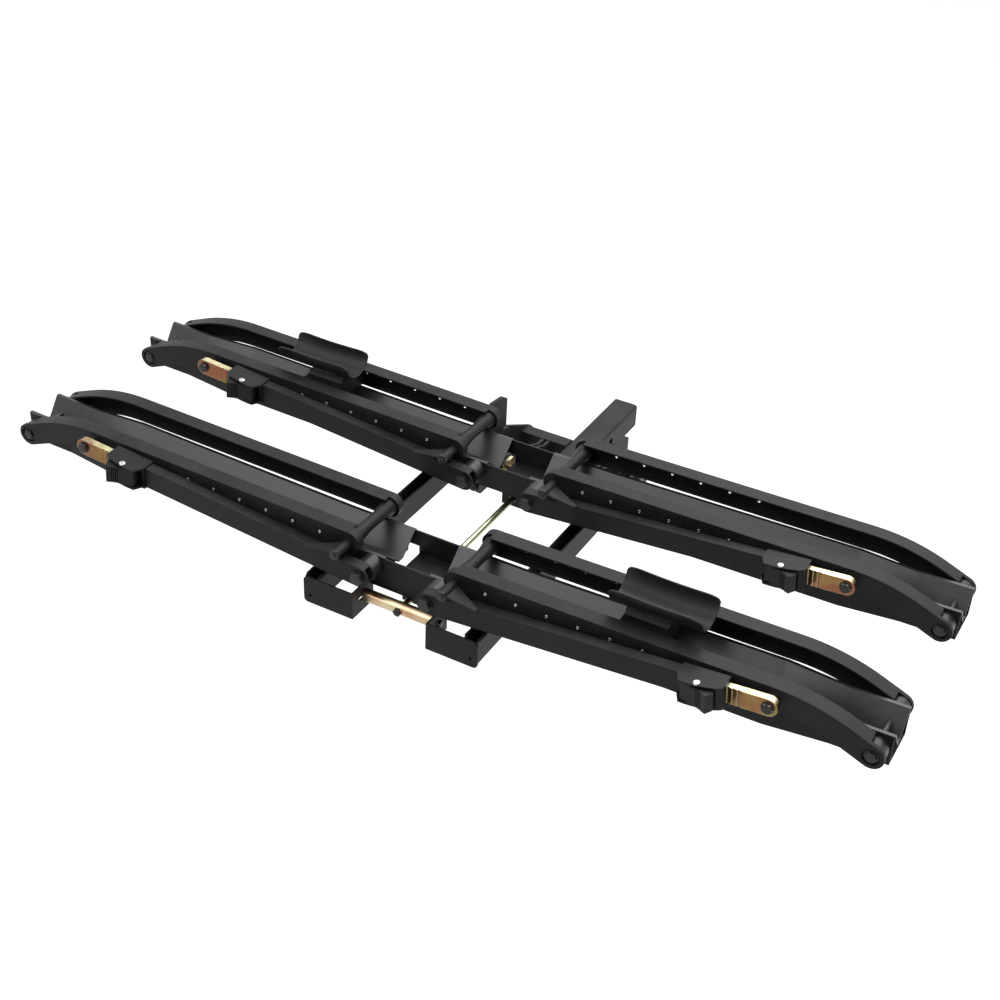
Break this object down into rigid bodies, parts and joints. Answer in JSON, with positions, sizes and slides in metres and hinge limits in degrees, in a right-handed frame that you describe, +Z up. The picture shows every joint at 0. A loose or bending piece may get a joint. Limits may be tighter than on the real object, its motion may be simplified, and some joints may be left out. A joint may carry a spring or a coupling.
{
  "type": "bike rack",
  "caption": "Hitch-mounted platform rack for electric bikes: wheel trays with folding hoops held by ratcheting struts, saddles, a tilt latch and a square hitch tube",
  "frame": {"origin": "centre of the hitch pin hole, on the hitch tube's axis", "axes": "+X to the right along the trays, +Y to the vehicle along the hitch tube, +Z up"},
  "size_m": [1.6, 0.9044, 0.2524],
  "materials": {
    "black_powder": "satin black powder coat",
    "black_aluminium": "satin black powder coat on aluminium sheet",
    "saddle_black": "smooth dark grey satin paint",
    "black_bolt": "blackened steel, semi-gloss",
    "roller_black": "smooth dark plastic",
    "housing_black": "moulded black plastic",
    "yellow_zinc": "yellow zinc plating with a faint pink and green sheen",
    "pale_zinc": "pale zinc plating",
    "spring_steel": "plain spring wire"
  },
  "bodies": {
    "stinger": {"hitch_tube": "black_powder", "cross_tubes": "black_powder", "side_plate_left": "black_powder", "side_plate_right": "black_powder", "tongue_plates": "black_powder", "striker_pin": "pale_zinc", "fold_bolts": "black_bolt"},
    "platform": {"beam_left": "black_aluminium", "beam_right": "black_aluminium", "front_bracket": "black_powder", "base_channel_front": "black_aluminium", "base_channel_rear": "black_aluminium", "hoop_pivots_front": "black_bolt", "hoop_pivots_rear": "black_bolt", "strut_pivots_front": "black_bolt", "strut_pivots_rear": "black_bolt", "rod_guides": "black_powder", "latch_spring": "spring_steel", "liner_front_left": "black_aluminium", "liner_front_right": "black_aluminium", "liner_rear_left": "black_aluminium", "liner_rear_right": "black_aluminium"},
    "latch": {"handle_bar": "yellow_zinc", "pull_rod": "pale_zinc", "latch_hooks": "yellow_zinc"},
    "hoop_front_left": {"hoop_front_left": "black_aluminium", "roller_axle_front_left": "black_bolt"},
    "roller_front_left": {"roller_front_left": "roller_black"},
    "finger_lever_front_left": {"finger_lever_front_left": "black_powder"},
    "strut_front_left": {"strut_front_left": "black_powder", "ratchet_housing_front_left": "housing_black"},
    "ratchet_bar_front_left": {"ratchet_bar_front_left": "yellow_zinc"},
    "trigger_front_left": {"trigger_front_left": "housing_black"},
    "hoop_front_right": {"hoop_front_right": "black_aluminium", "roller_axle_front_right": "black_bolt", "saddle_front_right": "saddle_black"},
    "roller_front_right": {"roller_front_right": "roller_black"},
    "finger_lever_front_right": {"finger_lever_front_right": "black_powder"},
    "strut_front_right": {"strut_front_right": "black_powder", "ratchet_housing_front_right": "housing_black"},
    "ratchet_bar_front_right": {"ratchet_bar_front_right": "yellow_zinc"},
    "trigger_front_right": {"trigger_front_right": "housing_black"},
    "hoop_rear_left": {"hoop_rear_left": "black_aluminium", "roller_axle_rear_left": "black_bolt", "saddle_rear_left": "saddle_black"},
    "roller_rear_left": {"roller_rear_left": "roller_black"},
    "finger_lever_rear_left": {"finger_lever_rear_left": "black_powder"},
    "strut_rear_left": {"strut_rear_left": "black_powder", "ratchet_housing_rear_left": "housing_black"},
    "ratchet_bar_rear_left": {"ratchet_bar_rear_left": "yellow_zinc"},
    "trigger_rear_left": {"trigger_rear_left": "housing_black"},
    "hoop_rear_right": {"hoop_rear_right": "black_aluminium", "roller_axle_rear_right": "black_bolt"},
    "roller_rear_right": {"roller_rear_right": "roller_black"},
    "finger_lever_rear_right": {"finger_lever_rear_right": "black_powder"},
    "strut_rear_right": {"strut_rear_right": "black_powder", "ratchet_housing_rear_right": "housing_black"},
    "ratchet_bar_rear_right": {"ratchet_bar_rear_right": "yellow_zinc"},
    "trigger_rear_right": {"trigger_rear_right": "housing_black"}
  },
  "joints": [
    {"name": "platform_fold", "type": "hinge", "parent": "stinger", "child": "platform", "pos_m": [0, -0.175, 0.0635], "axis": [-1, 0, 0], "range_deg": [0, 90]},
    {"name": "latch_pull", "type": "slide", "parent": "platform", "child": "latch", "axis": [0, -1, 0], "range_m": [0, 0.016], "stiffness_N_per_m": 1500, "springref_m": -0.015, "deforming": ["latch_spring"]},
    {"name": "hoop_front_left_swing", "type": "hinge", "parent": "platform", "child": "hoop_front_left", "pos_m": [-0.7784, -0.66, 0.127], "axis": [0, -1, 0], "range_deg": [0, 60]},
    {"name": "roller_front_left_spin", "type": "hinge", "parent": "hoop_front_left", "child": "roller_front_left", "pos_m": [-0.099, -0.66, 0.1555], "axis": [0, 1, 0], "continuous": true},
    {"name": "finger_lever_front_left_lift", "type": "hinge", "parent": "hoop_front_left", "child": "finger_lever_front_left", "pos_m": [-0.099, -0.7485, 0.1555], "axis": [0, 1, 0], "range_deg": [0, 35], "stiffness_Nm_per_rad": 0.3, "springref_deg": -11.46},
    {"name": "strut_front_left_swing", "type": "hinge", "parent": "platform", "child": "strut_front_left", "pos_m": [-0.0634, -0.7445, 0.117], "axis": [0, 1, 0], "range_deg": [0, 8.55]},
    {"name": "ratchet_bar_front_left_slide", "type": "slide", "parent": "strut_front_left", "child": "ratchet_bar_front_left", "axis": [-0.9964, 0, 0.0847], "range_m": [0, 0.12534]},
    {"name": "trigger_front_left_press", "type": "hinge", "parent": "strut_front_left", "child": "trigger_front_left", "pos_m": [-0.52633, -0.77, 0.15634], "axis": [-0.0847, 0, -0.9964], "range_deg": [0, 12], "stiffness_Nm_per_rad": 0.4, "springref_deg": -8.59},
    {"name": "hoop_front_right_swing", "type": "hinge", "parent": "platform", "child": "hoop_front_right", "pos_m": [0.7784, -0.66, 0.127], "axis": [0, 1, 0], "range_deg": [0, 60]},
    {"name": "roller_front_right_spin", "type": "hinge", "parent": "hoop_front_right", "child": "roller_front_right", "pos_m": [0.099, -0.66, 0.1555], "axis": [0, 1, 0], "continuous": true},
    {"name": "finger_lever_front_right_lift", "type": "hinge", "parent": "hoop_front_right", "child": "finger_lever_front_right", "pos_m": [0.099, -0.7485, 0.1555], "axis": [0, -1, 0], "range_deg": [0, 35], "stiffness_Nm_per_rad": 0.3, "springref_deg": -11.46},
    {"name": "strut_front_right_swing", "type": "hinge", "parent": "platform", "child": "strut_front_right", "pos_m": [0.0634, -0.7445, 0.117], "axis": [0, -1, 0], "range_deg": [0, 8.55]},
    {"name": "ratchet_bar_front_right_slide", "type": "slide", "parent": "strut_front_right", "child": "ratchet_bar_front_right", "axis": [0.9964, 0, 0.0847], "range_m": [0, 0.12534]},
    {"name": "trigger_front_right_press", "type": "hinge", "parent": "strut_front_right", "child": "trigger_front_right", "pos_m": [0.52633, -0.77, 0.15634], "axis": [-0.0847, 0, 0.9964], "range_deg": [0, 12], "stiffness_Nm_per_rad": 0.4, "springref_deg": -8.59},
    {"name": "hoop_rear_left_swing", "type": "hinge", "parent": "platform", "child": "hoop_rear_left", "pos_m": [-0.7784, -0.33, 0.127], "axis": [0, -1, 0], "range_deg": [0, 60]},
    {"name": "roller_rear_left_spin", "type": "hinge", "parent": "hoop_rear_left", "child": "roller_rear_left", "pos_m": [-0.099, -0.33, 0.1555], "axis": [0, 1, 0], "continuous": true},
    {"name": "finger_lever_rear_left_lift", "type": "hinge", "parent": "hoop_rear_left", "child": "finger_lever_rear_left", "pos_m": [-0.099, -0.4185, 0.1555], "axis": [0, 1, 0], "range_deg": [0, 35], "stiffness_Nm_per_rad": 0.3, "springref_deg": -11.46},
    {"name": "strut_rear_left_swing", "type": "hinge", "parent": "platform", "child": "strut_rear_left", "pos_m": [-0.0634, -0.4145, 0.117], "axis": [0, 1, 0], "range_deg": [0, 8.55]},
    {"name": "ratchet_bar_rear_left_slide", "type": "slide", "parent": "strut_rear_left", "child": "ratchet_bar_rear_left", "axis": [-0.9964, 0, 0.0847], "range_m": [0, 0.12534]},
    {"name": "trigger_rear_left_press", "type": "hinge", "parent": "strut_rear_left", "child": "trigger_rear_left", "pos_m": [-0.52633, -0.44, 0.15634], "axis": [-0.0847, 0, -0.9964], "range_deg": [0, 12], "stiffness_Nm_per_rad": 0.4, "springref_deg": -8.59},
    {"name": "hoop_rear_right_swing", "type": "hinge", "parent": "platform", "child": "hoop_rear_right", "pos_m": [0.7784, -0.33, 0.127], "axis": [0, 1, 0], "range_deg": [0, 60]},
    {"name": "roller_rear_right_spin", "type": "hinge", "parent": "hoop_rear_right", "child": "roller_rear_right", "pos_m": [0.099, -0.33, 0.1555], "axis": [0, 1, 0], "continuous": true},
    {"name": "finger_lever_rear_right_lift", "type": "hinge", "parent": "hoop_rear_right", "child": "finger_lever_rear_right", "pos_m": [0.099, -0.4185, 0.1555], "axis": [0, -1, 0], "range_deg": [0, 35], "stiffness_Nm_per_rad": 0.3, "springref_deg": -11.46},
    {"name": "strut_rear_right_swing", "type": "hinge", "parent": "platform", "child": "strut_rear_right", "pos_m": [0.0634, -0.4145, 0.117], "axis": [0, -1, 0], "range_deg": [0, 8.55]},
    {"name": "ratchet_bar_rear_right_slide", "type": "slide", "parent": "strut_rear_right", "child": "ratchet_bar_rear_right", "axis": [0.9964, 0, 0.0847], "range_m": [0, 0.12534]},
    {"name": "trigger_rear_right_press", "type": "hinge", "parent": "strut_rear_right", "child": "trigger_rear_right", "pos_m": [0.52633, -0.44, 0.15634], "axis": [-0.0847, 0, 0.9964], "range_deg": [0, 12], "stiffness_Nm_per_rad": 0.4, "springref_deg": -8.59}
  ],
  "couplings": [
    {"joint": "strut_front_left_swing", "follows": "hoop_front_left_swing", "ratio": 0.1423},
    {"joint": "ratchet_bar_front_left_slide", "follows": "hoop_front_left_swing", "m_per_rad": 0.11964},
    {"joint": "strut_front_right_swing", "follows": "hoop_front_right_swing", "ratio": 0.1423},
    {"joint": "ratchet_bar_front_right_slide", "follows": "hoop_front_right_swing", "m_per_rad": 0.11964},
    {"joint": "strut_rear_left_swing", "follows": "hoop_rear_left_swing", "ratio": 0.1423},
    {"joint": "ratchet_bar_rear_left_slide", "follows": "hoop_rear_left_swing", "m_per_rad": 0.11964},
    {"joint": "strut_rear_right_swing", "follows": "hoop_rear_right_swing", "ratio": 0.1423},
    {"joint": "ratchet_bar_rear_right_slide", "follows": "hoop_rear_right_swing", "m_per_rad": 0.11964}
  ]
}
